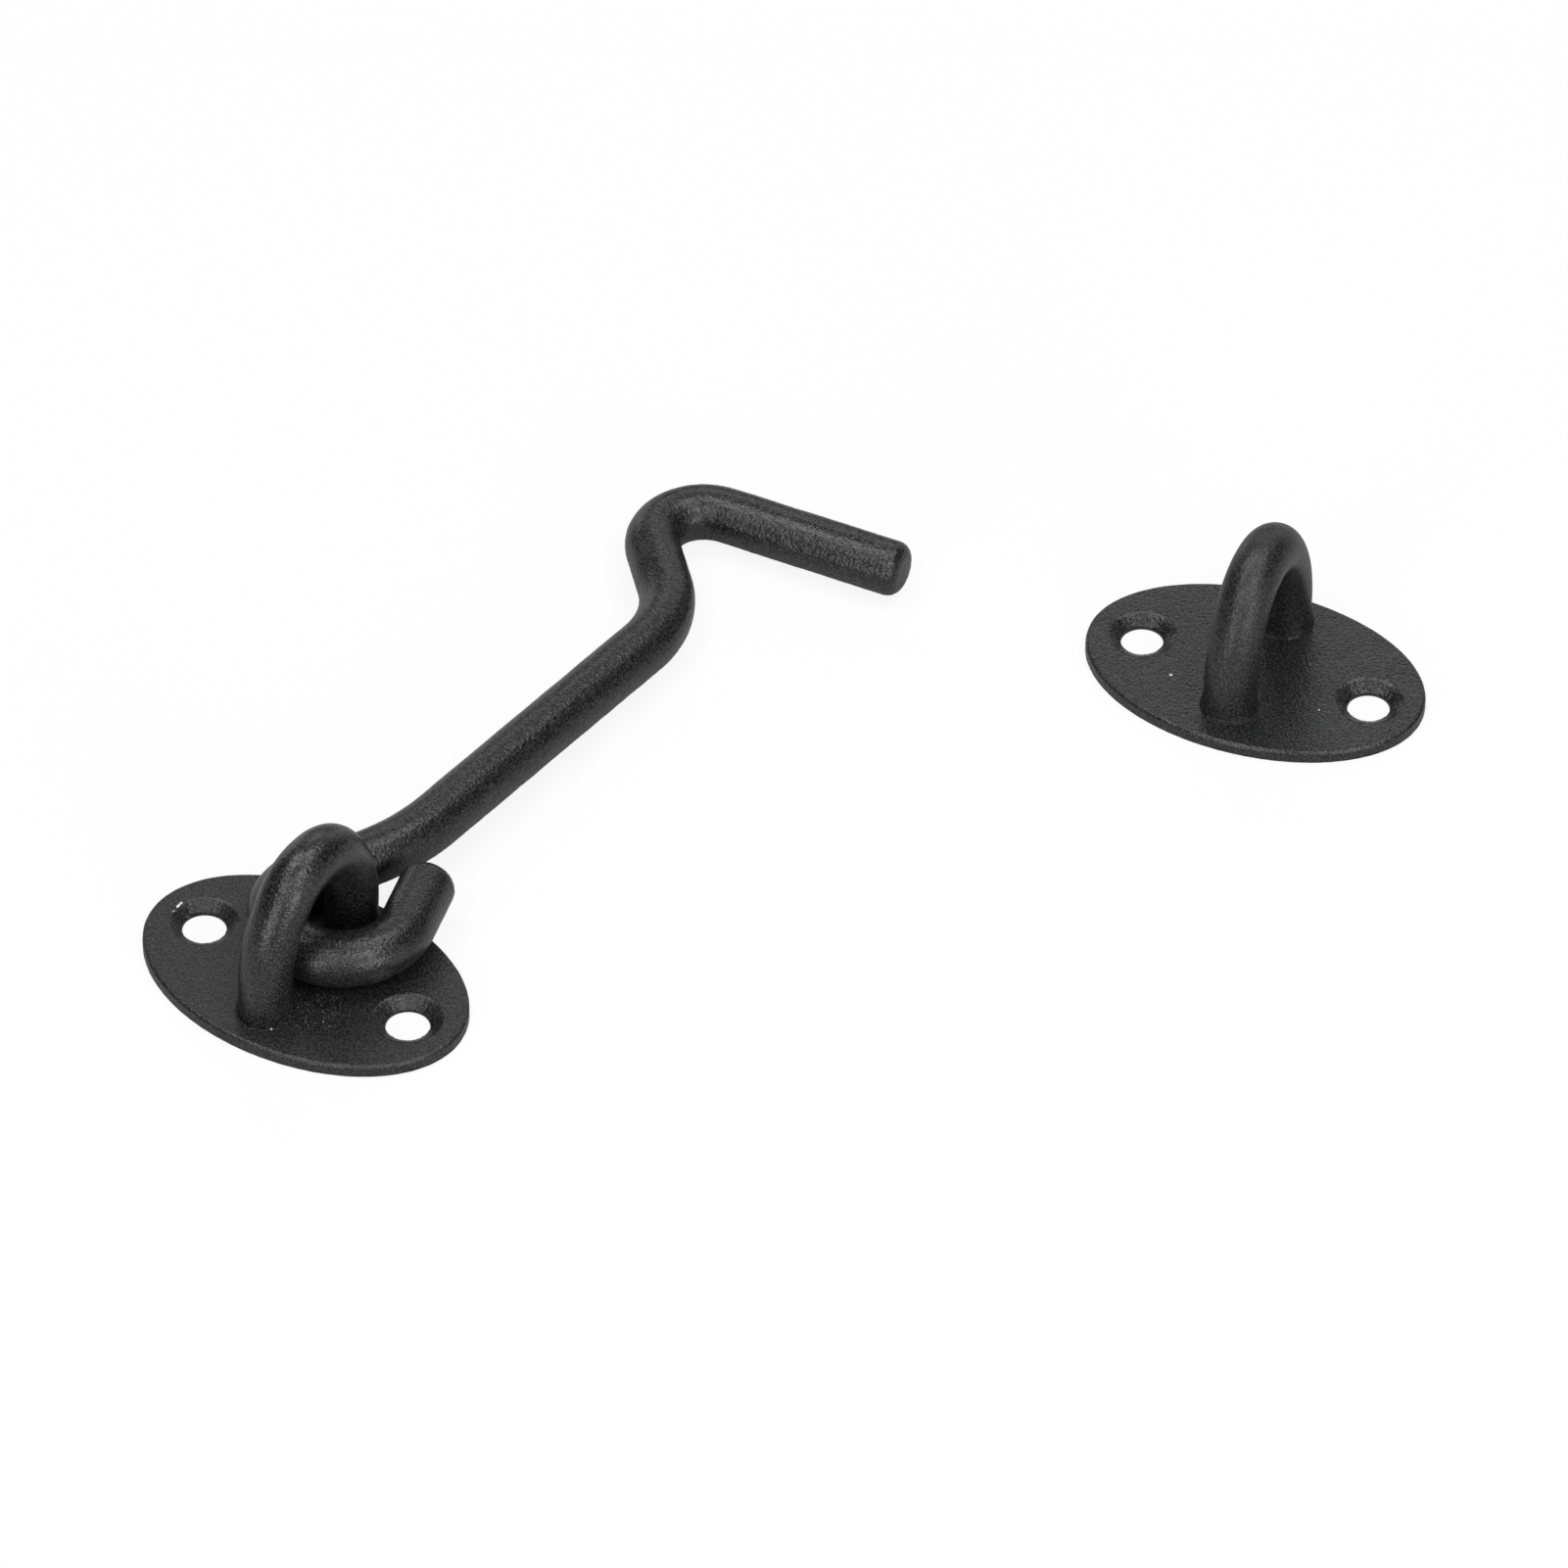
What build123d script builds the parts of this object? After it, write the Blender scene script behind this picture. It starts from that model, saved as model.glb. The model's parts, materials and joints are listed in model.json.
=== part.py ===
from build123d import *
import os
from math import asin, atan2, cos, degrees, radians, sin, tan

# A barn door latch in two halves. A hook bent from round bar hangs by its open eye on the staple of
# one oval plate. Its nose drops through the staple of a second oval plate, which stands by itself.
# Millimetres. The origin is the middle of the hook plate's back face, +X runs along that plate,
# +Y points along the closed hook and +Z points away from the door that the plates are screwed to.

# Plates, both stamped alike
plate_thickness = 1.4
rim_round = 0.4
screw_spacing = 26.0
screw_hole_d = 4.7
screw_head_d = 7.2
screw_land = 0.4
screw_margin = 2.25
leg_margin = 2.1

# Staples, both bent from one bar to the same arch, but riveted on by hand. Each stands a little off
# its plate's middle, leans a little along the plate and has legs of its own height.
staple_bar_d = 5.7
staple_rise = 10.95
crown_radius = 5.8
hook_staple_shift = (0.2, 0.15)
hook_staple_lean_angle = 3.2
hook_staple_spring = 5.95
catch_staple_shift = (-0.1, 0.75)
catch_staple_lean_angle = 0.8
catch_staple_spring = 4.85

# Riveted feet of the staples: a tenon through the plate, peened flush into a countersink on the back
tenon_d = 4.0
rivet_head_d = 5.3
rivet_land = 0.6

# The catch staple's feet are upset where they stand on the plate
flare_width = 0.45
flare_rim = 0.3
flare_height = 2.3

# Hook, bent from one bar, named from its cut tail by the eye to its nose
hook_bar_d = 6.0
tail_length = 8.1
eye_angle = 234.2
back_radius = 24.5
back_angle = 34.0
shank_length = 35.0
neck_radius = 12.6
neck_angle = 49.2
neck_length = 5.8
nose_radius = 5.5
nose_angle = 127.7
nose_length = 21.1
end_round = 1.5

# How the hook hangs on its staple. The leg stands off the eye's centre by eye_shift, towards the
# eye's opening, and eye_room is left between the eye and the other leg.
eye_play = 1.1
eye_shift = 1.4
eye_room = 0.75
plate_gap = 0.12
floor_gap = 0.08
hook_turn_angle = -2.75

# The catch plate, seen from the staple leg that the hook hangs on
catch_clear = 2.05
catch_bearing_angle = 58.0
catch_turn_angle = 10.3

# Sizes that follow from the ones above
staple_bar_r = staple_bar_d / 2
hook_bar_r = hook_bar_d / 2
eye_radius = staple_bar_r + eye_play + hook_bar_r
staple_span = eye_shift + eye_radius + hook_bar_r + eye_room + staple_bar_r
plate_length = screw_spacing + screw_head_d + 2 * screw_margin
plate_width = staple_span + staple_bar_d + 2 * leg_margin
pivot_leg_y = hook_staple_shift[1] + staple_span / 2


def bent_path(start, heading, steps):
    """Joins straight runs (length,) and bends (radius, angle) end to end. Left turns are positive."""
    point = Vector(*start)
    direction = Vector(cos(radians(heading)), sin(radians(heading)))
    edges = []
    for size, *turn in steps:
        if turn:
            edge = JernArc(point, direction, size, turn[0])
        else:
            edge = Line(point, point + direction * size)
        edges.append(edge)
        point = edge @ 1
        direction = edge % 1
    return Wire([piece.edge() for piece in edges])


def round_bar(path, radius):
    """Sweeps a round section along a path."""
    return sweep(Plane(origin=path @ 0, z_dir=path % 0) * Circle(radius), path)


def at_legs(shape, shift):
    """Copies a shape to both legs of a staple that stands off the plate's middle by shift."""
    return [Pos(shift[0], shift[1] + side * staple_span / 2) * shape for side in (-1, 1)]


def tenon():
    """One staple foot below the plate's top face: a plain shank and the cone of its peened head."""
    head_height = plate_thickness - rivet_land
    shank = extrude(Circle(tenon_d / 2), plate_thickness)
    head = Pos(0, 0, head_height / 2) * Cone(rivet_head_d / 2, tenon_d / 2, head_height)
    return shank + head


def flare(bottom):
    """The upset foot of a leg, along the leg's own axis, from bottom up to where the bar is plain."""
    outer = staple_bar_r + flare_width
    profile = Polyline(
        (0, bottom),
        (outer, bottom),
        (outer, flare_rim),
        (staple_bar_r, flare_height),
        (0, flare_height),
        close=True,
    )
    return revolve(Plane.XZ * make_face(profile), Axis.Z)


def plate(staple_shift):
    """An oval plate with two countersunk screw holes and the riveted seats of its staple."""
    body = extrude(Ellipse(plate_length / 2, plate_width / 2), plate_thickness)
    body = fillet(body.edges().filter_by(GeomType.ELLIPSE), rim_round)
    countersink = Cone(screw_hole_d / 2, screw_head_d / 2, plate_thickness - screw_land)
    countersink = Pos(0, 0, (plate_thickness + screw_land) / 2) * countersink
    screw_seat = extrude(Circle(screw_hole_d / 2), plate_thickness) + countersink
    for side in (-1, 1):
        body -= Pos(side * screw_spacing / 2, 0) * screw_seat
    for seat in at_legs(tenon(), staple_shift):
        body -= seat
    return body


def staple(shift, lean, spring, flared):
    """A bar bent to a pointed arch. Three tangent arcs make the arch, tightest at its crown.

    The arch is made standing upright on the plane z = 0 with spare lengths of leg below it. It is
    then leaned over, set on the plate's top face and cut off level with that face.
    """
    half_span = staple_span / 2
    side_radius = (half_span**2 + staple_rise**2 - 2 * staple_rise * crown_radius) / (
        2 * (half_span - crown_radius)
    )
    side_angle = degrees(atan2(staple_rise - crown_radius, side_radius - half_span))
    spare = flare_rim
    leg = spring - plate_thickness + spare
    steps = [
        (leg,),
        (side_radius, -side_angle),
        (crown_radius, 2 * side_angle - 180),
        (side_radius, -side_angle),
        (leg,),
    ]
    arch = bent_path((-half_span, -spare), 90, steps)
    bar = Plane.YZ * round_bar(arch, staple_bar_r)
    if flared:
        for foot in at_legs(flare(-spare), (0, 0)):
            bar += foot
    bar = Pos(shift[0], shift[1], plate_thickness) * Rot(0, lean, 0) * bar
    bar = split(bar, Plane.XY.offset(plate_thickness), keep=Keep.TOP)
    for foot in at_legs(tenon(), shift):
        bar += foot
    return bar


def hook_path():
    """The hook's centreline, with the eye's centre at the origin and the shank along +Y."""
    tail_heading = 90 + eye_angle - back_angle
    eye_start = Vector(eye_radius, 0).rotate(Axis.Z, tail_heading + 90)
    tail = Vector(tail_length, 0).rotate(Axis.Z, tail_heading)
    steps = [
        (tail_length,),
        (eye_radius, -eye_angle),
        (back_radius, back_angle),
        (shank_length,),
        (neck_radius, neck_angle),
        (neck_length,),
        (nose_radius, -nose_angle),
        (nose_length,),
    ]
    return bent_path(eye_start - tail, tail_heading, steps)


def hook():
    """The hook bar, its two cut ends rounded off."""
    bar = round_bar(hook_path(), hook_bar_r)
    ends = bar.faces().filter_by(GeomType.PLANE).edges()
    return fillet(ends, end_round)


# How far the hook reaches from the leg inside its eye, which stands towards the shank
centreline = hook_path()
reach = max((centreline @ (step / 200) - Vector(0, eye_shift)).length for step in range(201))

# The hook leans on the plate's rim and its nose lies just above the surface that the plates lie on
rim_distance = plate_width / 2 - pivot_leg_y
slope = asin((plate_thickness + plate_gap - floor_gap) / (reach - rim_distance))
hook_height = plate_thickness + plate_gap + hook_bar_r + rim_distance * sin(slope)
pivot_leg_x = hook_staple_shift[0] + (hook_height - plate_thickness) * tan(radians(hook_staple_lean_angle))
pivot = Pos(pivot_leg_x, pivot_leg_y, hook_height)
hook_seat = pivot * Rot(0, 0, hook_turn_angle) * Rot(-degrees(slope), 0, 0)
catch_distance = reach + hook_bar_r + catch_clear + plate_length / 2
catch_offset = Vector(catch_distance, 0).rotate(Axis.Z, catch_bearing_angle)
catch_seat = Pos(pivot_leg_x + catch_offset.X, pivot_leg_y + catch_offset.Y) * Rot(0, 0, catch_turn_angle)

hook_staple = staple(hook_staple_shift, hook_staple_lean_angle, hook_staple_spring, False)
catch_staple = staple(catch_staple_shift, catch_staple_lean_angle, catch_staple_spring, True)
parts = {
    "hook_plate": plate(hook_staple_shift),
    "hook_staple": hook_staple,
    "hook_bar": hook_seat * Pos(0, -eye_shift) * hook(),
    "catch_plate": catch_seat * plate(catch_staple_shift),
    "catch_staple": catch_seat * catch_staple,
}

os.makedirs("parts", exist_ok=True)
for name, shape in parts.items():
    export_step(shape, f"parts/{name}.step")
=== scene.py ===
import json
from math import asin, atan2, cos, degrees, hypot, pi, radians, sin, sqrt

import bpy
import numpy as np
from mathutils import Matrix, Vector, geometry


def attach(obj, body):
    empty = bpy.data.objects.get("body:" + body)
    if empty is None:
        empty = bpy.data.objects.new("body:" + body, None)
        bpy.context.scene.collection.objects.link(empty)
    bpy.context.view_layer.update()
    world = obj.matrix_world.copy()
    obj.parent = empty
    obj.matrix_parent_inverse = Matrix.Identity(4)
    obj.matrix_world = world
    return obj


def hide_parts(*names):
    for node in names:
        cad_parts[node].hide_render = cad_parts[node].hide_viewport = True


# A barn door latch with a fine textured black powder coat. The bars are swept along their own
# centrelines by one node tree, the plates are built from rings and a fine field of points, and a
# second tree raises the grain of the coat on all of them. Sizes are in millimetres up to where MM
# makes them metres.

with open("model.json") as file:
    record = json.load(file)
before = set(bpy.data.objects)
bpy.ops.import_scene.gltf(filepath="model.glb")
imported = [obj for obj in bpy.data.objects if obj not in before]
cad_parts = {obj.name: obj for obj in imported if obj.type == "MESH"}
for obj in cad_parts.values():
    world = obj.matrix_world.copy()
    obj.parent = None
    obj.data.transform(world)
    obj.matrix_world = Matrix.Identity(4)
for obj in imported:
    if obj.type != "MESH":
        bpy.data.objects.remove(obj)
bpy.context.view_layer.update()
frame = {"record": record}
MM = 0.001

# Where the CAD has the hook's hinge and the catch plate. The hinge leans as far as the hook slopes.
record = frame["record"]
hinge = record["behaviour"]["joints"][0]
mounts = {mount["name"]: mount for mount in record["mounts"]}
PIVOT = [v / MM for v in hinge["pos_m"]]
HOOK_SLOPE = degrees(asin(hypot(*hinge["axis"][:2])))
CATCH_PLACE = [v / MM for v in mounts["catch_plate_screws"]["pos_m"]]

# Plates
PLATE_THICKNESS = 1.4
PLATE_LENGTH = 37.7
PLATE_WIDTH = 24.85
RIM_ROUND = 0.4
SCREW_SPACING = 26.0
SCREW_HOLE_R = 2.35
SCREW_HEAD_R = 3.6
SCREW_LAND = 0.4
RIVET_SEAT_R = 2.69
RIVET_SEAT_FLOOR_R = 2.55
RIVET_SEAT_DEPTH = 0.12
PUNCH_DEPTH = 0.04
REAMER_DEPTH = 0.09

# The rim's wall ends in a broken edge at the back. Each ring of it has how far in it lies, how high,
# and its share of the punch's marks.
WALL_FOOT = 0.1
BACK_EDGE = [(0.03, 0.03, 1.0), (0.1, 0.0, 0.0)]

# A screw hole has a rolled lip round its countersink and a broken edge at the back. Each ring has how
# far outside the countersink or the hole it lies, how deep or how high, and its share of the marks.
SEAT_LIP = [(0.18, 0.0, 0.0), (0.05, 0.03, 0.3)]
SEAT_TOP = 0.12
HOLE_FOOT = [(0.0, 0.25, 0.5), (0.0, 0.1, 0.0), (0.06, 0.02, 0.0), (0.12, 0.0, 0.0)]

# Staples. Their legs run on a little into the plates and end flat inside them.
STAPLE_BAR_R = 2.85
STAPLE_SPAN = 14.95
STAPLE_RISE = 10.95
CROWN_RADIUS = 5.8
LEG_SPARE = 0.5
FOOT_DEPTH = 0.08
FLARE_RIM = 0.3
FLARE_HEIGHT = 2.3
FILLET_HEIGHT = 0.3

# The rings of coat grains round the staples' feet: their height, and how thin and thick they get
COLLAR_LIFT = 0.02
COLLAR_THIN = 0.3
COLLAR_SWELL = 0.9

# Hook, bent from one bar, named from its cut tail by the eye to its nose
HOOK_BAR_R = 3.0
TAIL_LENGTH = 8.1
EYE_RADIUS = 6.95
EYE_ANGLE = 234.2
BACK_RADIUS = 24.5
BACK_ANGLE = 34.0
SHANK_LENGTH = 35.0
NECK_RADIUS = 12.6
NECK_ANGLE = 49.2
NECK_LENGTH = 5.8
NOSE_RADIUS = 5.5
NOSE_ANGLE = 127.7
NOSE_LENGTH = 21.1
END_ROUND = 1.5
END_DOME = 0.05

# How far the leg inside the eye stands off the eye's centre, and how far the hook is turned from +Y
EYE_SHIFT = 1.4
HOOK_TURN = -2.75

# How fine the meshes are. FIRST_RING is the first ring's distance from a cut end's middle, in rings.
HOOK_CELL = 0.165
STAPLE_CELL = 0.12
PLATE_CELL = 0.14
BACK_CELL = 0.9
COLLAR_CELL = 0.07
LEAST_FACETS = 12
END_STEPS = 6
FIRST_RING = 0.04
ROUND_RINGS = 6
WALL_RINGS = 7
SEAT_RINGS = 9
RIVET_FACETS = 60
OUTLINE_STEPS = 4000

# The coat's shape: grains over all of it, and broad lumps left by hand bending and hammering. From the
# low to the high value of a step, the noise goes from sunk to raised, both in shares of the depth. A
# seed of one moves the noise along X by one shift.
GRAIN_SIZE = 0.27
GRAIN_DEPTH = 0.037
STAPLE_GRAIN_DEPTH = 0.014
LUMP_SIZE = 4.5
LUMP_DEPTH = 0.05
PLATE_LUMP_DEPTH = 0.03
GRAIN_STEP = (0.3, 0.7)
LUMP_STEP = (0.2, 0.8)
SUNK_AND_RAISED = (-0.6, 0.4)
SEED_SHIFT = 100.0
COLLAR_SEED = 3
COLLAR_DRAWS = 5

# The two halves of the latch. Both staples were bent and riveted by hand, so each has its own shift
# off its plate's middle, its lean along the plate and the height where its arch springs from its legs.
# Their feet are spread by the flare, and the coat has its own thickness round them and in the holes.
HALVES = [
    {
        "name": "hook",
        "place": (0.0, 0.0, 0.0),
        "turn": 0.0,
        "shift": (0.2, 0.15),
        "lean": 3.2,
        "spring": 5.95,
        "flare": 0.0,
        "fillet": 0.1,
        "collar radius": 3.08,
        "collar bar": 0.11,
        "staple lumps": LUMP_DEPTH,
        "staple seed": 1,
        "plate grain": 0.007,
        "hole coat": 0.05,
        "plate seed": 3,
    },
    {
        "name": "catch",
        "place": CATCH_PLACE,
        "turn": 10.3,
        "shift": (-0.1, 0.75),
        "lean": 0.8,
        "spring": 4.85,
        "flare": 0.27,
        "fillet": 0.14,
        "collar radius": 3.1,
        "collar bar": 0.13,
        "staple lumps": 0.02,
        "staple seed": 2,
        "plate grain": 0.014,
        "hole coat": 0.11,
        "plate seed": 4,
    },
]

# The coat's look. Fine sand in two blacks is strewn with paler dots, each in a cell of its own. A step
# holds the values between which the noise, or a cell's own number, brings the finer thing out, and
# a dot fades between the two shares of its cell.
ROUGHNESS = {
    "hook_bar": 0.28,
    "hook_staple": 0.26,
    "catch_staple": 0.38,
    "hook_plate": 0.36,
    "catch_plate": 0.28,
}
SAND_SIZE = 0.24
SAND_STEP = (0.42, 0.62)
SAND_DARK = (0.004, 0.004, 0.0042, 1)
SAND_PALE = (0.027, 0.0272, 0.0283, 1)
DOT_CELL = 0.23
DOT_FADE = (0.12, 0.42)
DOT_STEP = (0.5, 0.85)
DOT_GLOSS = 0.07
DOT_COLOUR = (0.065, 0.0655, 0.068, 1)
BUMP_SIZE = 0.3
BUMP_DEPTH = 0.07

# Painted glints: bright grains round one place on the hook plate, coloured pale to stand for the light
# they catch, thick up to a share of their reach
PAINTED_GLINT_STEP = (0.64, 0.74)
PAINTED_GLINT_COLOUR = (0.3, 0.3, 0.31, 1)
PAINTED_GLINTS_MIDDLE = (4.4, -4.6, 1.4)
PAINTED_GLINTS_REACH = 4.2
PAINTED_GLINTS_CORE = 0.4

# Places where the coat is chipped off, with their half widths, and bright specks in it, with their
# radii. The grain makes the edges of both ragged.
CHIPS = [
    ((-16.64, 0.66, 1.34), (0.13, 0.55, 0.16)),
    ((-16.56, -0.5, 1.25), (0.1, 0.22, 0.16)),
    ((-15.3, 0.35, 0.55), (0.14, 0.2, 0.14)),
]
SPECKS = [
    ((2.46, -9.32, 1.4), 0.14),
    ((6.16, -5.34, 1.4), 0.07),
    ((48.39, 89.07, 1.4), 0.19),
    ((64.37, 93.24, 1.4), 0.11),
]
SPECK_COLOUR = (0.65, 0.65, 0.64, 1)
BARE_STEEL = (0.62, 0.63, 0.64, 1)
SPOT_RAGGED = 0.8
SPOT_EDGE = (1.2, 1.5)

# Stage. The camera sees a share of the floor as pure white and the rest as paint with the shadows on
# it, and a share of the floor is dark where the coat mirrors it.
WHITE = (1, 1, 1, 1)
BLACK = (0, 0, 0, 1)
FLOOR_PAINT = (0.85, 0.85, 0.85, 1)
FLOOR_HALF = 3000.0
FLOOR_DROP = 0.02
FLOOR_WHITE_SHARE = 0.88
MIRRORED_DARK_SHARE = 0.42
WORLD_FILL = 0.04
SENSOR_WIDTH = 36.0
PHOTO_WIDTH = 1601
FOCAL_LENGTH_IN_PIXELS = 13063.75
CAMERA_AIM = (23.571, 52.877, 0.0)
CAMERA_DISTANCE = 1343.9
CAMERA_AZIMUTH = 34.535
CAMERA_ELEVATION = 41.917
CLIP_START = 50.0
CLIP_END = 20000.0

# Lamps, round ones of one size at one distance
LAMP_AIM = (24.0, 53.0, 0.0)
LAMP_DISTANCE = 2000.0
LAMP_SIZE = 1000.0

# Each lamp's azimuth from the camera's, its elevation and its power in watts
LAMPS = [
    ("low right", 30, 12, 10.5),
    ("low far right", 60, 12, 2.4),
    ("low left", -30, 12, 9.9),
    ("front", 0, 32, 3.5),
    ("high right", 36, 52, 12.1),
    ("high left", -36, 52, 9.6),
    ("top right", 120, 70, 9.6),
    ("top left", -120, 70, 11.7),
    ("back", 180, 32, 3.3),
    ("back right", 150, 32, 1.9),
    ("low back right", 150, 12, 1.3),
    ("low back left", -150, 12, 2.5),
]


# Node trees in general


class Socket:
    """A node's output that + - * and / work on, with numbers or other outputs on either side."""

    def __init__(self, tree, output):
        self.tree, self.output = tree, output

    def __add__(self, other):
        return self.tree.math("ADD", self, other)

    def __sub__(self, other):
        return self.tree.math("SUBTRACT", self, other)

    def __rsub__(self, other):
        return self.tree.math("SUBTRACT", other, self)

    def __mul__(self, other):
        return self.tree.math("MULTIPLY", self, other)

    def __truediv__(self, other):
        return self.tree.math("DIVIDE", self, other)

    def __rtruediv__(self, other):
        return self.tree.math("DIVIDE", other, self)

    __radd__, __rmul__ = __add__, __mul__


class Tree:
    """A node tree in the making."""

    # A Mix node's sockets for its share and its two colours, and the output for a colour
    MIX_INPUTS = (0, 6, 7)
    MIX_OUTPUT = 2

    def __init__(self, node_tree):
        self.node_tree = node_tree

    def add(self, kind, settings=None, **values):
        """Adds a node, sets it up, then gives its sockets their values or links. Returns the node."""
        node = self.node_tree.nodes.new(kind)
        for name, value in (settings or {}).items():
            setattr(node, name, value)
        for name, value in values.items():
            self.give(node, name.replace("_", " "), value)
        return node

    def give(self, node, name, value):
        """Links or sets one input socket, found by its name or its number."""
        socket = node.inputs[name]
        if isinstance(value, Socket):
            self.node_tree.links.new(value.output, socket)
        else:
            socket.default_value = value

    def out(self, node, name=0):
        return Socket(self, node.outputs[name])

    def math(self, operation, *values):
        node = self.add("ShaderNodeMath", {"operation": operation})
        for number, value in enumerate(values):
            self.give(node, number, value)
        return self.out(node)

    def vector(self, operation, *values, scale=None):
        node = self.add("ShaderNodeVectorMath", {"operation": operation})
        for number, value in enumerate(values):
            self.give(node, number, value)
        if scale is not None:
            self.give(node, "Scale", scale)
        return self.out(node, "Value" if operation in ("LENGTH", "DOT_PRODUCT") else "Vector")

    def ramp(self, value, low, high, to_low=0.0, to_high=1.0):
        """A smooth step from to_low to to_high as the value goes from low to high."""
        node = self.add("ShaderNodeMapRange", {"interpolation_type": "SMOOTHSTEP"})
        for number, item in enumerate((value, low, high, to_low, to_high)):
            self.give(node, number, item)
        return self.out(node)

    def mix(self, share, first, second):
        """Mixes two colours."""
        node = self.add("ShaderNodeMix", {"data_type": "RGBA"})
        for number, item in zip(self.MIX_INPUTS, (share, first, second)):
            self.give(node, number, item)
        return self.out(node, self.MIX_OUTPUT)

    def blend(self, share, first, second):
        """Mixes two shaders."""
        node = self.add("ShaderNodeMixShader")
        for number, item in enumerate((share, first, second)):
            self.give(node, number, item)
        return self.out(node)

    def noise(self, where, size):
        """Soft noise of about that size, with one finer layer in it."""
        return self.out(self.add("ShaderNodeTexNoise", Vector=where, Scale=1 / size, Detail=1.0))

    def attribute(self, label):
        """A number that each point of the shape carries."""
        return self.out(self.add("GeometryNodeInputNamedAttribute", {"data_type": "FLOAT"}, Name=label))


def emptied(owner):
    """The node tree of a new material or world, with nothing in it yet."""
    owner.use_nodes = True
    owner.node_tree.nodes.clear()
    return Tree(owner.node_tree)


def metres(sizes):
    return tuple(size * MM for size in sizes)


# The coat's material


def powder_coat(name, roughness):
    """Black powder coat: half matt, with a fine grain that breaks up its highlights."""
    material = bpy.data.materials.new(name)
    tree = emptied(material)
    place = tree.out(tree.add("ShaderNodeTexCoord"), "Object")
    grain = tree.noise(place, BUMP_SIZE * MM)
    sand = tree.ramp(tree.noise(place, SAND_SIZE * MM), *SAND_STEP)
    cells = tree.add("ShaderNodeTexVoronoi", Vector=place, Scale=1 / (DOT_CELL * MM))
    near = tree.ramp(tree.out(cells, "Distance"), *DOT_FADE, 1.0, 0.0)
    dots = near * tree.ramp(tree.out(cells, "Color"), *DOT_STEP)
    # Painted glints: pale cells round one place on the hook plate, fading out with the distance from
    # its middle
    away = tree.vector("LENGTH", tree.vector("SUBTRACT", place, metres(PAINTED_GLINTS_MIDDLE)))
    painted_glints = near * tree.ramp(tree.out(cells, "Color"), *PAINTED_GLINT_STEP)
    painted_glints = painted_glints * tree.ramp(away, PAINTED_GLINTS_CORE * PAINTED_GLINTS_REACH * MM, PAINTED_GLINTS_REACH * MM, 1.0, 0.0)

    def spot(centre, sizes):
        """1 inside a small ragged ellipsoid, 0 outside."""
        offset = tree.vector("SUBTRACT", place, metres(centre))
        reach = tree.vector("LENGTH", tree.vector("DIVIDE", offset, metres(sizes)))
        return tree.ramp(reach + grain * SPOT_RAGGED, *SPOT_EDGE, 1.0, 0.0)

    chips = sum(spot(centre, sizes) for centre, sizes in CHIPS)
    specks = sum(spot(centre, (radius,) * 3) for centre, radius in SPECKS)
    colour = tree.mix(sand, SAND_DARK, SAND_PALE)
    colour = tree.mix(dots, colour, DOT_COLOUR)
    # The painted glints go into the coat's colour
    colour = tree.mix(painted_glints, colour, PAINTED_GLINT_COLOUR)
    colour = tree.mix(specks, colour, SPECK_COLOUR)
    colour = tree.mix(chips, colour, BARE_STEEL)
    bump = tree.add("ShaderNodeBump", Height=grain, Distance=BUMP_DEPTH * MM)
    shader = tree.add(
        "ShaderNodeBsdfPrincipled",
        Base_Color=colour,
        Metallic=chips,
        Roughness=roughness - DOT_GLOSS * dots,
        Normal=tree.out(bump),
    )
    tree.add("ShaderNodeOutputMaterial", Surface=tree.out(shader))
    return material


COATS = {name: powder_coat(name + "_coat", roughness) for name, roughness in ROUGHNESS.items()}


# Node trees for the shapes

RELIEF_INPUTS = [
    ("Grain size", "Float", GRAIN_SIZE * MM),
    ("Grain depth", "Float", GRAIN_DEPTH * MM),
    ("Lump size", "Float", LUMP_SIZE * MM),
    ("Lump depth", "Float", LUMP_DEPTH * MM),
    ("Seed", "Float", 0.0),
]
FINISH_INPUT = ("Finish", "Material", None)


def new_tree(name, inputs):
    """An empty geometry tree with a Geometry input and the named ones, and its group input node."""
    node_tree = bpy.data.node_groups.new(name, "GeometryNodeTree")
    interface = node_tree.interface
    interface.new_socket("Geometry", in_out="INPUT", socket_type="NodeSocketGeometry")
    for label, kind, value in inputs:
        socket = interface.new_socket(label, in_out="INPUT", socket_type="NodeSocket" + kind)
        if value is not None:
            socket.default_value = value
    interface.new_socket("Geometry", in_out="OUTPUT", socket_type="NodeSocketGeometry")
    tree = Tree(node_tree)
    return tree, tree.add("NodeGroupInput")


def relief_tree():
    """Raises the grains and lumps of the coat and sinks the rest, by each point's share of relief."""
    tree, entry = new_tree("coat_relief", RELIEF_INPUTS)
    place = tree.out(tree.add("GeometryNodeInputPosition"))
    offset = tree.add("ShaderNodeCombineXYZ", X=tree.out(entry, "Seed"))
    place = tree.vector("ADD", place, tree.out(offset))
    grains = tree.noise(place, tree.out(entry, "Grain size"))
    lumps = tree.noise(place, tree.out(entry, "Lump size"))
    height = tree.ramp(grains, *GRAIN_STEP, *SUNK_AND_RAISED) * tree.out(entry, "Grain depth")
    height = height + tree.ramp(lumps, *LUMP_STEP, *SUNK_AND_RAISED) * tree.out(entry, "Lump depth")
    normal = tree.out(tree.add("GeometryNodeInputNormal"))
    outward = tree.vector("SCALE", normal, scale=height * tree.attribute("relief"))
    moved = tree.add("GeometryNodeSetPosition", Geometry=tree.out(entry), Offset=outward)
    tree.add("NodeGroupOutput", Geometry=tree.out(moved))
    return tree.node_tree


RELIEF = relief_tree()


def add_relief(tree, entry, shape):
    """Puts the relief tree into another tree, fed by the inputs of the same names."""
    node = tree.add("GeometryNodeGroup", {"node_tree": RELIEF}, Geometry=shape)
    for label, _, _ in RELIEF_INPUTS:
        tree.give(node, label, tree.out(entry, label))
    return tree.out(node)


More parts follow.
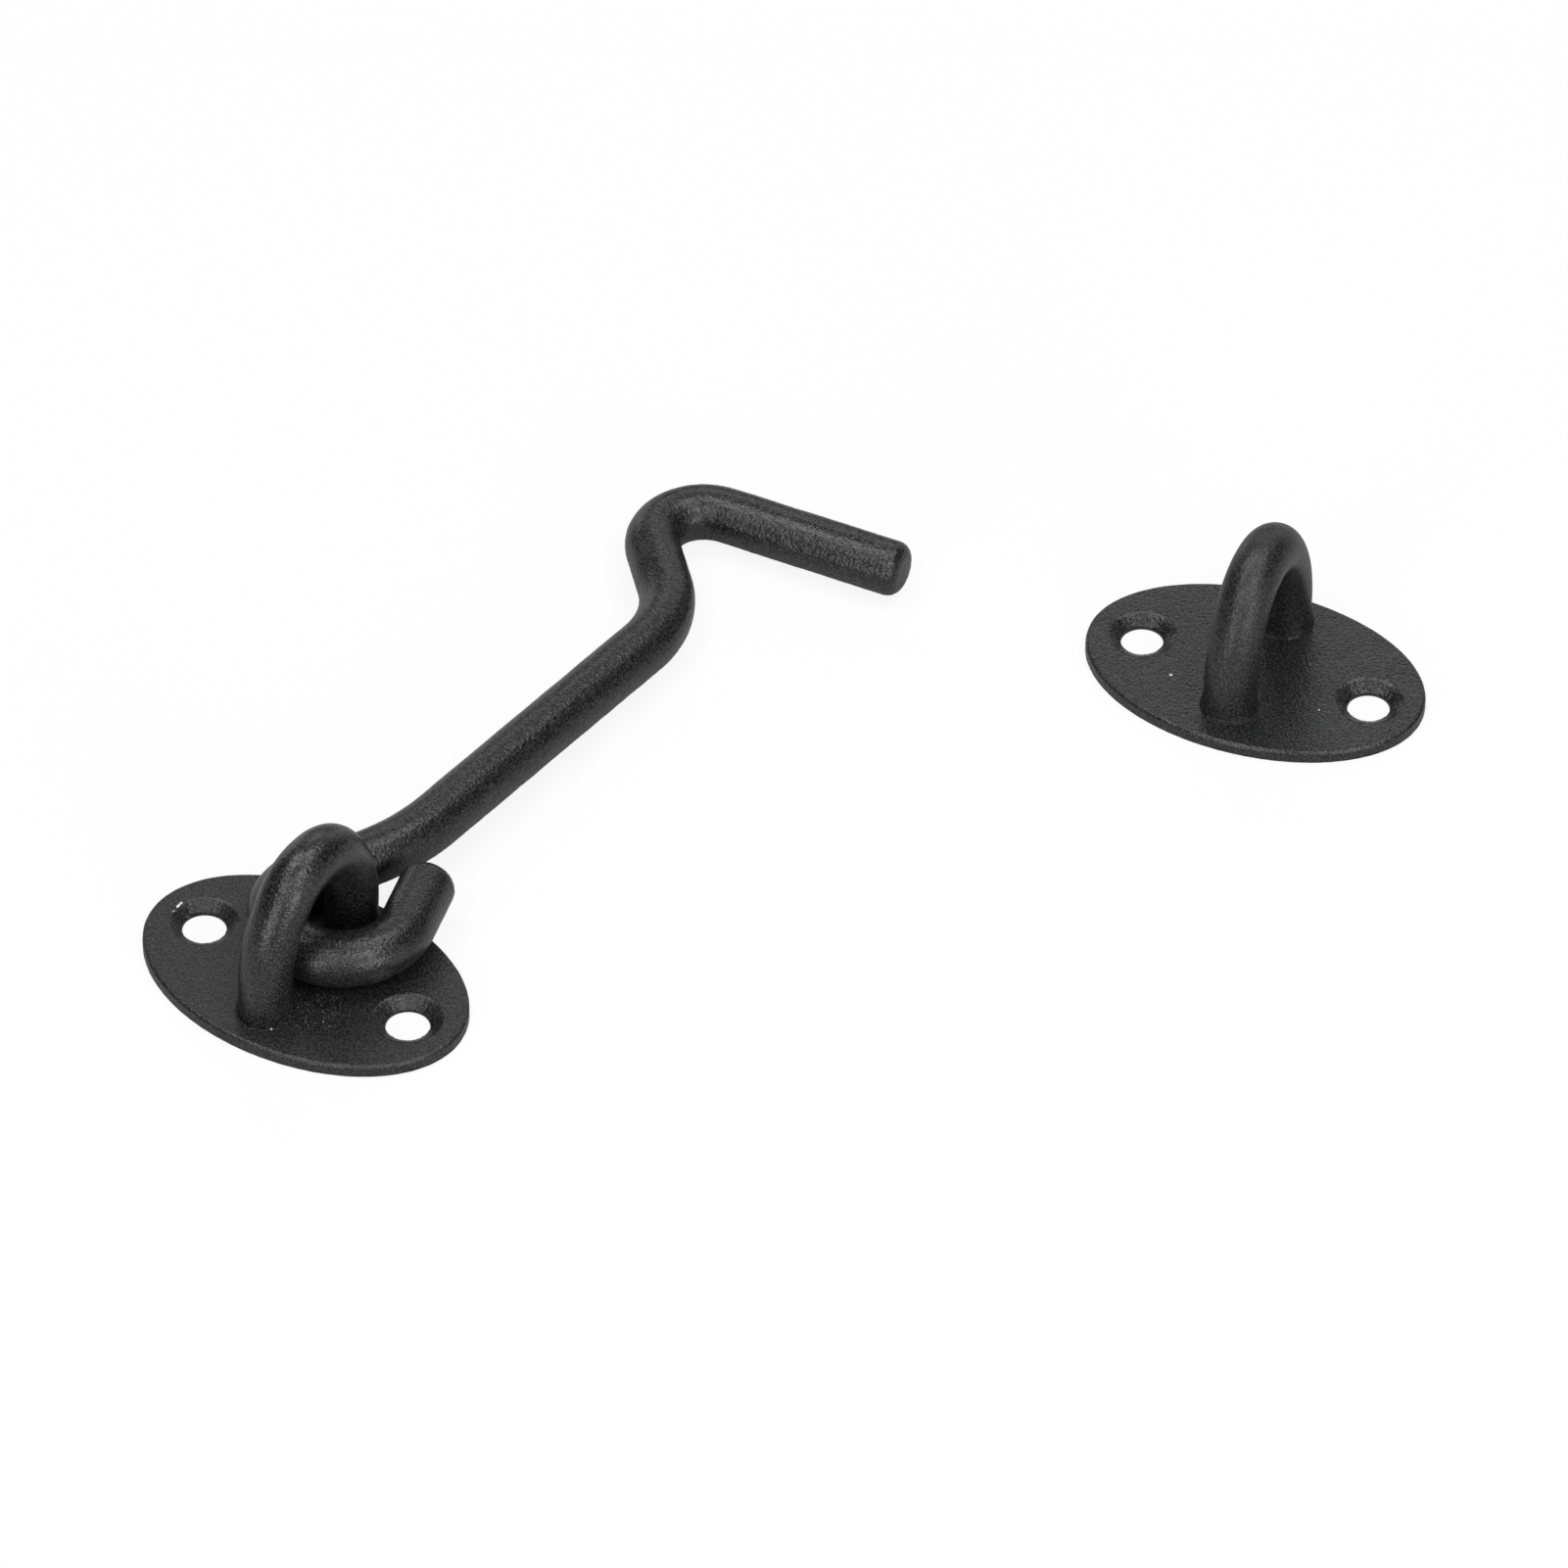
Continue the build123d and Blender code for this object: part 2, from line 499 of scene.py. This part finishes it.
def close_tree(tree, entry, shape):
    """Ends a tree: smooth faces, no instances, and the coat on them."""
    smooth = tree.add("GeometryNodeSetShadeSmooth", Geometry=shape)
    real = tree.add("GeometryNodeRealizeInstances", Geometry=tree.out(smooth))
    coat = tree.out(entry, "Finish")
    coated = tree.add("GeometryNodeSetMaterial", Geometry=tree.out(real), Material=coat)
    tree.add("NodeGroupOutput", Geometry=tree.out(coated))
    return tree.node_tree


def bar_tree():
    """Sweeps a round bar along a line of points that carries its thickness and its flare.

    The flare widens the bar to one side, along the Across direction where it is above zero and
    against it where it is below. What is lower than the cut height is pressed flat at that height.
    """
    inputs = [
        ("Bar radius", "Float", 1.0),
        ("Facets", "Int", LEAST_FACETS),
        ("Across", "Vector", (1.0, 0.0, 0.0)),
        ("Flare width", "Float", 0.0),
        ("Cut height", "Float", -1.0),
    ]
    tree, entry = new_tree("round_bar", inputs + RELIEF_INPUTS + [FINISH_INPUT])
    line = tree.add("GeometryNodeMeshToCurve", Mesh=tree.out(entry))
    section = tree.add(
        "GeometryNodeCurvePrimitiveCircle",
        Resolution=tree.out(entry, "Facets"),
        Radius=tree.out(entry, "Bar radius"),
    )
    sweep = tree.add(
        "GeometryNodeCurveToMesh",
        Curve=tree.out(line),
        Profile_Curve=tree.out(section),
        Scale=tree.attribute("thickness"),
        Fill_Caps=True,
    )
    normal = tree.out(tree.add("GeometryNodeInputNormal"))
    sideways = tree.vector("DOT_PRODUCT", normal, tree.out(entry, "Across"))
    facing = tree.math("MAXIMUM", sideways * tree.attribute("flare"), 0.0)
    spread = tree.vector("SCALE", normal, scale=facing * tree.out(entry, "Flare width"))
    flared = tree.add("GeometryNodeSetPosition", Geometry=tree.out(sweep), Offset=spread)
    shape = add_relief(tree, entry, tree.out(flared))
    place = tree.add("ShaderNodeSeparateXYZ", Vector=tree.out(tree.add("GeometryNodeInputPosition")))
    height = tree.math("MAXIMUM", tree.out(place, "Z"), tree.out(entry, "Cut height"))
    above = tree.add("ShaderNodeCombineXYZ", X=tree.out(place, "X"), Y=tree.out(place, "Y"), Z=height)
    cut = tree.add("GeometryNodeSetPosition", Geometry=shape, Position=tree.out(above))
    return close_tree(tree, entry, tree.out(cut))


def plate_tree():
    """Gives a plate the relief of its coat."""
    tree, entry = new_tree("coated_plate", RELIEF_INPUTS + [FINISH_INPUT])
    return close_tree(tree, entry, add_relief(tree, entry, tree.out(entry)))


BAR_TREE = bar_tree()
PLATE_TREE = plate_tree()


def grown(name, mesh, node_tree, values):
    """Runs a mesh through a tree and returns an object with the plain mesh that comes out."""
    source = bpy.data.objects.new(name + "_source", mesh)
    bpy.context.scene.collection.objects.link(source)
    modifier = source.modifiers.new("shape", "NODES")
    modifier.node_group = node_tree
    identifiers = {i.name: i.identifier for i in node_tree.interface.items_tree if i.in_out == "INPUT"}
    for label, value in values.items():
        modifier[identifiers[label]] = value
    bpy.context.view_layer.update()
    made = bpy.data.meshes.new_from_object(source.evaluated_get(bpy.context.evaluated_depsgraph_get()))
    bpy.data.objects.remove(source)
    made.name = name
    piece = bpy.data.objects.new(name, made)
    bpy.context.scene.collection.objects.link(piece)
    return piece


def write_attribute(mesh, label, values):
    """Gives each point of a mesh its number."""
    attribute = mesh.attributes.new(label, "FLOAT", "POINT")
    attribute.data.foreach_set("value", np.array(values, np.float32))


# Places


def shift(x, y, z=0.0):
    return Matrix.Translation((x, y, z))


def turn(angle, axis):
    return Matrix.Rotation(radians(angle), 4, axis)


def placed(points, *moves):
    """Points after a row of 4x4 moves, the last given first."""
    move = Matrix.Identity(4)
    for item in moves:
        move = move @ item
    turned = np.array(move.to_3x3())
    return points @ turned.T + np.array(move.translation)


def seat_of(half):
    """Where the plate of one half lies, with all that stands on it."""
    return shift(*half["place"]) @ turn(half["turn"], "Z")


def foot_of(half, side):
    """The middle of one foot of a staple on its plate."""
    x, y = half["shift"]
    return x, y + side * STAPLE_SPAN / 2


def circle_ring(centre, radius, count):
    """Points round a circle, or round a line that leaves it where the radius is a list of radii."""
    angles = np.linspace(0, 2 * pi, count, endpoint=False)
    return np.c_[centre[0] + radius * np.cos(angles), centre[1] + radius * np.sin(angles)]


def streaks(count, rng, reach):
    """Numbers from 0 to 1 round a ring, smoothed over some neighbours, as the marks of a tool are."""
    raw = rng.uniform(0, 1, count)
    smooth = sum(np.roll(raw, step) for step in range(-reach, reach + 1))
    return (smooth - smooth.min()) / (smooth.max() - smooth.min())


# Bars


def bent_path(start, heading, steps, cell):
    """Points along straight runs (length,) and bends (radius, angle), at most a cell apart."""
    point, turned = np.array(start, float), radians(heading)
    points = [point]
    for size, *angle in steps:
        if angle:
            bend = radians(angle[0])
            side = 1 if bend > 0 else -1
            centre = point + side * size * np.array([-sin(turned), cos(turned)])
            x, y = point - centre
            count = max(2, int(abs(bend) * size / cell) + 1)
            for share in np.linspace(0, bend, count + 1)[1:]:
                arm = (cos(share) * x - sin(share) * y, sin(share) * x + cos(share) * y)
                points.append(centre + arm)
            turned += bend
        else:
            count = int(size / cell) + 1
            for share in np.linspace(0, size, count + 1)[1:]:
                points.append(point + share * np.array([cos(turned), sin(turned)]))
        point = points[-1]
    return np.array(points)


def line_mesh(name, points, thickness, flare, closed):
    """A line of points in metres that carries its thickness, its flare and its share of relief."""
    mesh = bpy.data.meshes.new(name)
    edges = [(i, i + 1) for i in range(len(points) - 1)]
    if closed:
        edges.append((len(points) - 1, 0))
    mesh.from_pydata([tuple(p) for p in points * MM], edges, [])
    write_attribute(mesh, "thickness", thickness)
    write_attribute(mesh, "flare", flare)
    write_attribute(mesh, "relief", np.ones(len(points)))
    return mesh


def bar(name, line, radius, cell, coat, inputs, closed=False):
    """Sweeps one coated bar along a line. The inputs go into the tree as they are, in metres."""
    values = {
        "Bar radius": radius * MM,
        "Facets": max(LEAST_FACETS, int(2 * pi * radius / cell)),
        "Finish": COATS[coat],
        **inputs,
    }
    return grown(name, line_mesh(name, *line, closed), BAR_TREE, values)


def end_profile(radius, cell):
    """Distances from a cut end and the bar's thickness there, from the face's middle outwards."""
    flat = radius - END_ROUND
    rings = max(2, int(flat / cell))
    depths, shares = [], []
    for ring in range(rings):
        r = flat * (ring + FIRST_RING) / rings
        depths.append(END_DOME * (r / flat) ** 2)
        shares.append(r / radius)
    for angle in np.linspace(0, pi / 2, END_STEPS + 1):
        depths.append(END_DOME + END_ROUND * (1 - cos(angle)))
        shares.append((flat + END_ROUND * sin(angle)) / radius)
    return depths, shares


def with_ends(points, radius, cell):
    """Swaps the first and last points of a straight-ended line for the rings of its rounded ends."""
    depths, shares = end_profile(radius, cell)
    reach = depths[-1] + cell / 4
    along = np.linalg.norm(points - points[0], axis=1)
    back = np.linalg.norm(points - points[-1], axis=1)
    inner = points[(along > reach) & (back > reach)]
    first = (points[1] - points[0]) / np.linalg.norm(points[1] - points[0])
    last = (points[-2] - points[-1]) / np.linalg.norm(points[-2] - points[-1])
    head = [points[0] + first * depth for depth in depths]
    tail = [points[-1] + last * depth for depth in depths][::-1]
    thickness = np.array(shares + [1.0] * len(inner) + shares[::-1])
    return np.vstack([head, inner, tail]), thickness


def hook():
    """The hook, one bar with an open eye, where it lies in the photo."""
    heading = 90 + EYE_ANGLE - BACK_ANGLE
    angle = radians(heading)
    along = np.array([cos(angle), sin(angle)])
    across = np.array([-sin(angle), cos(angle)])
    start = EYE_RADIUS * across - TAIL_LENGTH * along
    steps = [
        (TAIL_LENGTH,),
        (EYE_RADIUS, -EYE_ANGLE),
        (BACK_RADIUS, BACK_ANGLE),
        (SHANK_LENGTH,),
        (NECK_RADIUS, NECK_ANGLE),
        (NECK_LENGTH,),
        (NOSE_RADIUS, -NOSE_ANGLE),
        (NOSE_LENGTH,),
    ]
    flat = bent_path(start, heading, steps, HOOK_CELL)
    points, thickness = with_ends(np.c_[flat, np.zeros(len(flat))], HOOK_BAR_R, HOOK_CELL)
    seat = (shift(*PIVOT), turn(HOOK_TURN, "Z"), turn(-HOOK_SLOPE, "X"), shift(0, -EYE_SHIFT))
    line = placed(points, *seat), thickness, np.zeros(len(points))
    return bar("hook_bar_coated", line, HOOK_BAR_R, HOOK_CELL, "hook_bar", {})


def staple_line(half):
    """One staple's centreline, from foot to foot, with its legs run a little into the plate."""
    half_span = STAPLE_SPAN / 2
    side_radius = (half_span**2 + STAPLE_RISE**2 - 2 * STAPLE_RISE * CROWN_RADIUS) / (
        2 * (half_span - CROWN_RADIUS)
    )
    side_angle = degrees(atan2(STAPLE_RISE - CROWN_RADIUS, side_radius - half_span))
    leg = half["spring"] - PLATE_THICKNESS + LEG_SPARE
    steps = [
        (leg,),
        (side_radius, -side_angle),
        (CROWN_RADIUS, 2 * side_angle - 180),
        (side_radius, -side_angle),
        (leg,),
    ]
    flat = bent_path((-half_span, -LEG_SPARE), 90, steps, STAPLE_CELL)
    height = flat[:, 1]
    flare = np.clip((FLARE_HEIGHT - height) / (FLARE_HEIGHT - FLARE_RIM), 0, 1) * np.sign(flat[:, 0])
    swell = half["fillet"] / STAPLE_BAR_R * np.exp(-np.maximum(height, 0) / FILLET_HEIGHT)
    moves = (seat_of(half), shift(*half["shift"], PLATE_THICKNESS), turn(half["lean"], "Y"))
    return placed(np.c_[np.zeros(len(flat)), flat], *moves), 1 + swell, flare


FOOT_CUT = {"Cut height": (PLATE_THICKNESS - FOOT_DEPTH) * MM}


def staple(half):
    """A bar bent to a pointed arch, with a fillet of coat at its feet."""
    node = half["name"] + "_staple"
    inputs = {
        "Grain depth": STAPLE_GRAIN_DEPTH * MM,
        "Lump depth": half["staple lumps"] * MM,
        "Seed": half["staple seed"] * SEED_SHIFT * MM,
        "Flare width": half["flare"] * MM,
        "Across": tuple(seat_of(half).to_3x3() @ Vector((1, 0, 0))),
        **FOOT_CUT,
    }
    return bar(node + "_coated", staple_line(half), STAPLE_BAR_R, STAPLE_CELL, node, inputs)


def collar(half, end, side, rng):
    """The grains of coat round a staple's foot: a closed ring on the plate, thick and thin in turns."""
    radius = half["collar radius"]
    count = int(2 * pi * radius / PLATE_CELL)
    thickness = COLLAR_THIN + COLLAR_SWELL * streaks(count, rng, 1) ** 2
    ring = np.c_[circle_ring((0, 0), radius, count), np.full(count, COLLAR_LIFT)]
    points = placed(ring, seat_of(half), shift(*foot_of(half, side), PLATE_THICKNESS))
    line = points, thickness, np.zeros(count)
    node = half["name"] + "_staple"
    inputs = {"Seed": COLLAR_SEED * SEED_SHIFT * MM, **FOOT_CUT}
    return bar(f"{node}_{end}_collar", line, half["collar bar"], COLLAR_CELL, node, inputs, closed=True)


# Plates


def ellipse_ring(inset, count):
    """Points at even distances round the plate's outline, each moved in by its inset."""
    a, b = PLATE_LENGTH / 2, PLATE_WIDTH / 2
    t = np.linspace(0, 2 * pi, OUTLINE_STEPS + 1)
    steps = np.hypot(a * np.sin(t), b * np.cos(t))
    run = np.r_[0, np.cumsum((steps[1:] + steps[:-1]) / 2)]
    t = np.interp(np.linspace(0, run[-1], count, endpoint=False), run, t)
    outward = np.c_[b * np.cos(t), a * np.sin(t)]
    outward /= np.linalg.norm(outward, axis=1)[:, None]
    return np.c_[a * np.cos(t), b * np.sin(t)] - inset * outward


class Shell:
    """Collects the points and faces of a closed shell in millimetres."""

    # Points of a field keep this share of a cell away from its rings
    MARGIN = 0.6
    # A face whose middle is nearer to a hole's middle than this share of its radius lies in the hole
    INSIDE = 0.999
    # The triangulation keeps what lies within the outer ring, and takes points this near as one
    KEEP_WITHIN = 1
    SAME_POINT = 1e-6

    def __init__(self):
        self.points, self.faces, self.relief = [], [], []

    def add(self, flat, height, relief=1.0):
        """Adds points at a height and returns their numbers."""
        start = len(self.points)
        self.points += [(x, y, height) for x, y in flat.tolist()]
        self.relief += [relief] * len(flat)
        return np.arange(start, start + len(flat))

    def loft(self, first, second):
        """Joins two rings of equal count. The faces look outward if the first is the lower one."""
        for i in range(len(first)):
            j = (i + 1) % len(first)
            self.faces.append((first[i], first[j], second[j], second[i]))

    def field(self, rings, cell, height, up, relief=1.0):
        """Fills the flat between the first ring and the others with an even field of points."""
        outlines = [np.array([self.points[i][:2] for i in ring]) for ring in rings]
        edges = []
        start = 0
        for ring in rings:
            count = len(ring)
            edges += [(start + i, start + (i + 1) % count) for i in range(count)]
            start += count
        margin = self.MARGIN * cell
        a, b = np.abs(outlines[0]).max(0)
        xs = np.arange(-a, a, cell)
        ys = np.arange(-b, b, cell * sqrt(3) / 2)
        grid = np.array([(x + (row % 2) * cell / 2, y) for row, y in enumerate(ys) for x in xs])
        keep = (grid[:, 0] / (a - margin)) ** 2 + (grid[:, 1] / (b - margin)) ** 2 < 1
        holes = []
        for outline in outlines[1:]:
            centre = outline.mean(0)
            radius = np.linalg.norm(outline[0] - centre)
            keep &= np.linalg.norm(grid - centre, axis=1) > radius + margin
            holes.append((centre, radius))
        numbers = np.concatenate([*rings, self.add(grid[keep], height, relief)])
        points = [Vector(p) for p in np.vstack([*outlines, grid[keep]])]
        kept, _, faces, origins, _, _ = geometry.delaunay_2d_cdt(
            points, edges, [], self.KEEP_WITHIN, self.SAME_POINT
        )
        for face in faces:
            middle = np.array(sum((kept[v] for v in face), Vector((0, 0))) / len(face))
            if any(np.linalg.norm(middle - centre) < self.INSIDE * radius for centre, radius in holes):
                continue
            corners = [numbers[origins[v][0]] for v in face]
            self.faces.append(corners if up else corners[::-1])

    def mesh(self, name, move):
        mesh = bpy.data.meshes.new(name)
        points = placed(np.array(self.points), move) * MM
        mesh.from_pydata(points.tolist(), [], [tuple(int(i) for i in face) for face in self.faces])
        write_attribute(mesh, "relief", self.relief)
        mesh.validate()
        return mesh


def add_rings(shell, rings, outside):
    """Adds rings of points (flat, height) from the top down and joins them. Returns their numbers.

    The rings next to the back get no relief, because the back is flat.
    """
    numbers = []
    for flat, height in rings:
        relief = 1.0 if height > WALL_FOOT / 2 else 0.0
        numbers.append(shell.add(flat, height, relief))
    for upper, lower in zip(numbers, numbers[1:]):
        if outside:
            shell.loft(lower, upper)
        else:
            shell.loft(upper, lower)
    return numbers


def plate_rim(shell, rng):
    """The plate's edge: rounded at the top, with the upright marks of the punch down its wall."""
    count = int(pi * (PLATE_LENGTH + PLATE_WIDTH) / 2 / PLATE_CELL)
    marks = PUNCH_DEPTH * streaks(count, rng, 2)[:, None]
    profile = []
    for angle in np.linspace(0, pi / 2, ROUND_RINGS):
        drop = RIM_ROUND * (1 - cos(angle))
        profile.append((RIM_ROUND * (1 - sin(angle)), PLATE_THICKNESS - drop, sin(angle)))
    for height in np.linspace(PLATE_THICKNESS - RIM_ROUND, WALL_FOOT, WALL_RINGS)[1:]:
        profile.append((0.0, height, 1.0))
    profile += BACK_EDGE
    rings = [(ellipse_ring(inset + share * marks, count), height) for inset, height, share in profile]
    return add_rings(shell, rings, outside=True)


def screw_seat(shell, centre, hole_coat, rng):
    """A countersunk screw hole from the top face to the back, made narrower by the coat in it."""
    count = int(2 * pi * SCREW_HEAD_R / PLATE_CELL)
    marks = REAMER_DEPTH * streaks(count, rng, 1)
    hole_r, land = SCREW_HOLE_R - hole_coat, SCREW_LAND + hole_coat
    slope = (SCREW_HEAD_R - hole_r) / (PLATE_THICKNESS - land)
    profile = [(SCREW_HEAD_R + out, PLATE_THICKNESS - depth, share) for out, depth, share in SEAT_LIP]
    for height in np.linspace(PLATE_THICKNESS - SEAT_TOP, land, SEAT_RINGS):
        profile.append((hole_r + slope * (height - land), height, 1.0))
    profile += [(hole_r + out, height, share) for out, height, share in HOLE_FOOT]
    rings = [(circle_ring(centre, r + share * marks, count), height) for r, height, share in profile]
    return add_rings(shell, rings, outside=False)


def rivet_seat(shell, centre):
    """The shallow round seat that a staple's rivet head fills on the back."""
    rim = shell.add(circle_ring(centre, RIVET_SEAT_R, RIVET_FACETS), 0.0, 0.0)
    bottom = shell.add(circle_ring(centre, RIVET_SEAT_FLOOR_R, RIVET_FACETS), RIVET_SEAT_DEPTH, 0.0)
    middle = shell.add(np.array([centre]), RIVET_SEAT_DEPTH, 0.0)[0]
    shell.loft(bottom, rim)
    for i in range(RIVET_FACETS):
        shell.faces.append((bottom[(i + 1) % RIVET_FACETS], bottom[i], middle))
    return rim


def plate(half):
    """An oval plate with two countersunk holes, and the two rivet seats on its back."""
    node = half["name"] + "_plate"
    name = node + "_coated"
    shell, rng = Shell(), np.random.default_rng(half["plate seed"])
    rim = plate_rim(shell, rng)
    screws = [
        screw_seat(shell, (side * SCREW_SPACING / 2, 0), half["hole coat"], rng) for side in (-1, 1)
    ]
    rivets = [rivet_seat(shell, foot_of(half, side)) for side in (-1, 1)]
    shell.field([rim[0]] + [rings[0] for rings in screws], PLATE_CELL, PLATE_THICKNESS, up=True)
    back = [rim[-1]] + [rings[-1] for rings in screws] + rivets
    shell.field(back, BACK_CELL, 0.0, up=False, relief=0.0)
    values = {
        "Grain depth": half["plate grain"] * MM,
        "Lump depth": PLATE_LUMP_DEPTH * MM,
        "Seed": half["plate seed"] * SEED_SHIFT * MM,
        "Finish": COATS[node],
    }
    return grown(name, shell.mesh(name, seat_of(half)), PLATE_TREE, values)


# The pieces, each with the CAD node that it stands for and the body that it rides on

pieces = [(hook(), "hook_bar", "hook")]
pieces += [(staple(half), half["name"] + "_staple", "plates") for half in HALVES]
pieces += [(plate(half), half["name"] + "_plate", "plates") for half in HALVES]
rng = np.random.default_rng(COLLAR_DRAWS)
for half in HALVES:
    for end, side in (("near", -1), ("far", 1)):
        pieces.append((collar(half, end, side, rng), None, "plates"))
for piece, node, body in pieces:
    if node:
        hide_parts(node)
    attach(piece, body)


# Stage


def floor():
    """A pale floor that shows white to the camera, takes soft shadows and is darker in reflections."""
    mesh = bpy.data.meshes.new("floor")
    sides = [(-1, -1), (1, -1), (1, 1), (-1, 1)]
    corners = [metres((x * FLOOR_HALF, y * FLOOR_HALF, -FLOOR_DROP)) for x, y in sides]
    mesh.from_pydata(corners, [], [range(len(corners))])
    material = bpy.data.materials.new("floor_white")
    tree = emptied(material)
    rays = tree.add("ShaderNodeLightPath")
    seen = (tree.out(rays, "Is Camera Ray") + tree.out(rays, "Is Transmission Ray")) * FLOOR_WHITE_SHARE
    paint = tree.add("ShaderNodeBsdfDiffuse", Color=FLOOR_PAINT)
    glow = tree.add("ShaderNodeEmission", Color=WHITE)
    dark = tree.add("ShaderNodeBsdfDiffuse", Color=BLACK)
    white = tree.blend(seen, tree.out(paint), tree.out(glow))
    mirrored = tree.out(rays, "Is Glossy Ray") * MIRRORED_DARK_SHARE
    tree.add("ShaderNodeOutputMaterial", Surface=tree.blend(mirrored, white, tree.out(dark)))
    mesh.materials.append(material)
    plane = bpy.data.objects.new("floor", mesh)
    bpy.context.scene.collection.objects.link(plane)


def put_round(name, data, aim, azimuth, elevation, distance):
    """Puts a lamp or the camera round a point that it faces. Azimuth 0 looks along +Y."""
    a, e = radians(azimuth), radians(elevation)
    away = Vector((sin(a) * cos(e), -cos(a) * cos(e), sin(e)))
    thing = bpy.data.objects.new(name, data)
    thing.location = (Vector(aim) + away * distance) * MM
    thing.rotation_euler = (-away).to_track_quat("-Z", "Y").to_euler()
    bpy.context.scene.collection.objects.link(thing)
    return thing


def lamp(name, azimuth, elevation, power):
    """A round area lamp that faces the latch."""
    data = bpy.data.lights.new(name, "AREA")
    data.shape, data.size, data.energy = "DISK", LAMP_SIZE * MM, power
    put_round(name, data, LAMP_AIM, azimuth, elevation, LAMP_DISTANCE)


def studio():
    """A world that is white to the camera and lights the latch only a little."""
    world = bpy.data.worlds.new("studio")
    tree = emptied(world)
    fill = tree.add("ShaderNodeBackground", Color=WHITE, Strength=WORLD_FILL)
    backdrop = tree.add("ShaderNodeBackground", Color=WHITE)
    seen = tree.out(tree.add("ShaderNodeLightPath"), "Is Camera Ray")
    tree.add("ShaderNodeOutputWorld", Surface=tree.blend(seen, tree.out(fill), tree.out(backdrop)))
    return world


def camera():
    """The camera, where the one that took the photo stood."""
    data = bpy.data.cameras.new("camera")
    data.sensor_width = SENSOR_WIDTH
    data.lens = FOCAL_LENGTH_IN_PIXELS / PHOTO_WIDTH * SENSOR_WIDTH
    data.clip_start, data.clip_end = CLIP_START * MM, CLIP_END * MM
    return put_round("camera", data, CAMERA_AIM, CAMERA_AZIMUTH, CAMERA_ELEVATION, CAMERA_DISTANCE)


floor()
for name, azimuth, elevation, power in LAMPS:
    lamp(name, CAMERA_AZIMUTH + azimuth, elevation, power)
scene = bpy.context.scene
scene.world = studio()
scene.view_settings.view_transform = "Standard"
scene.camera = camera()
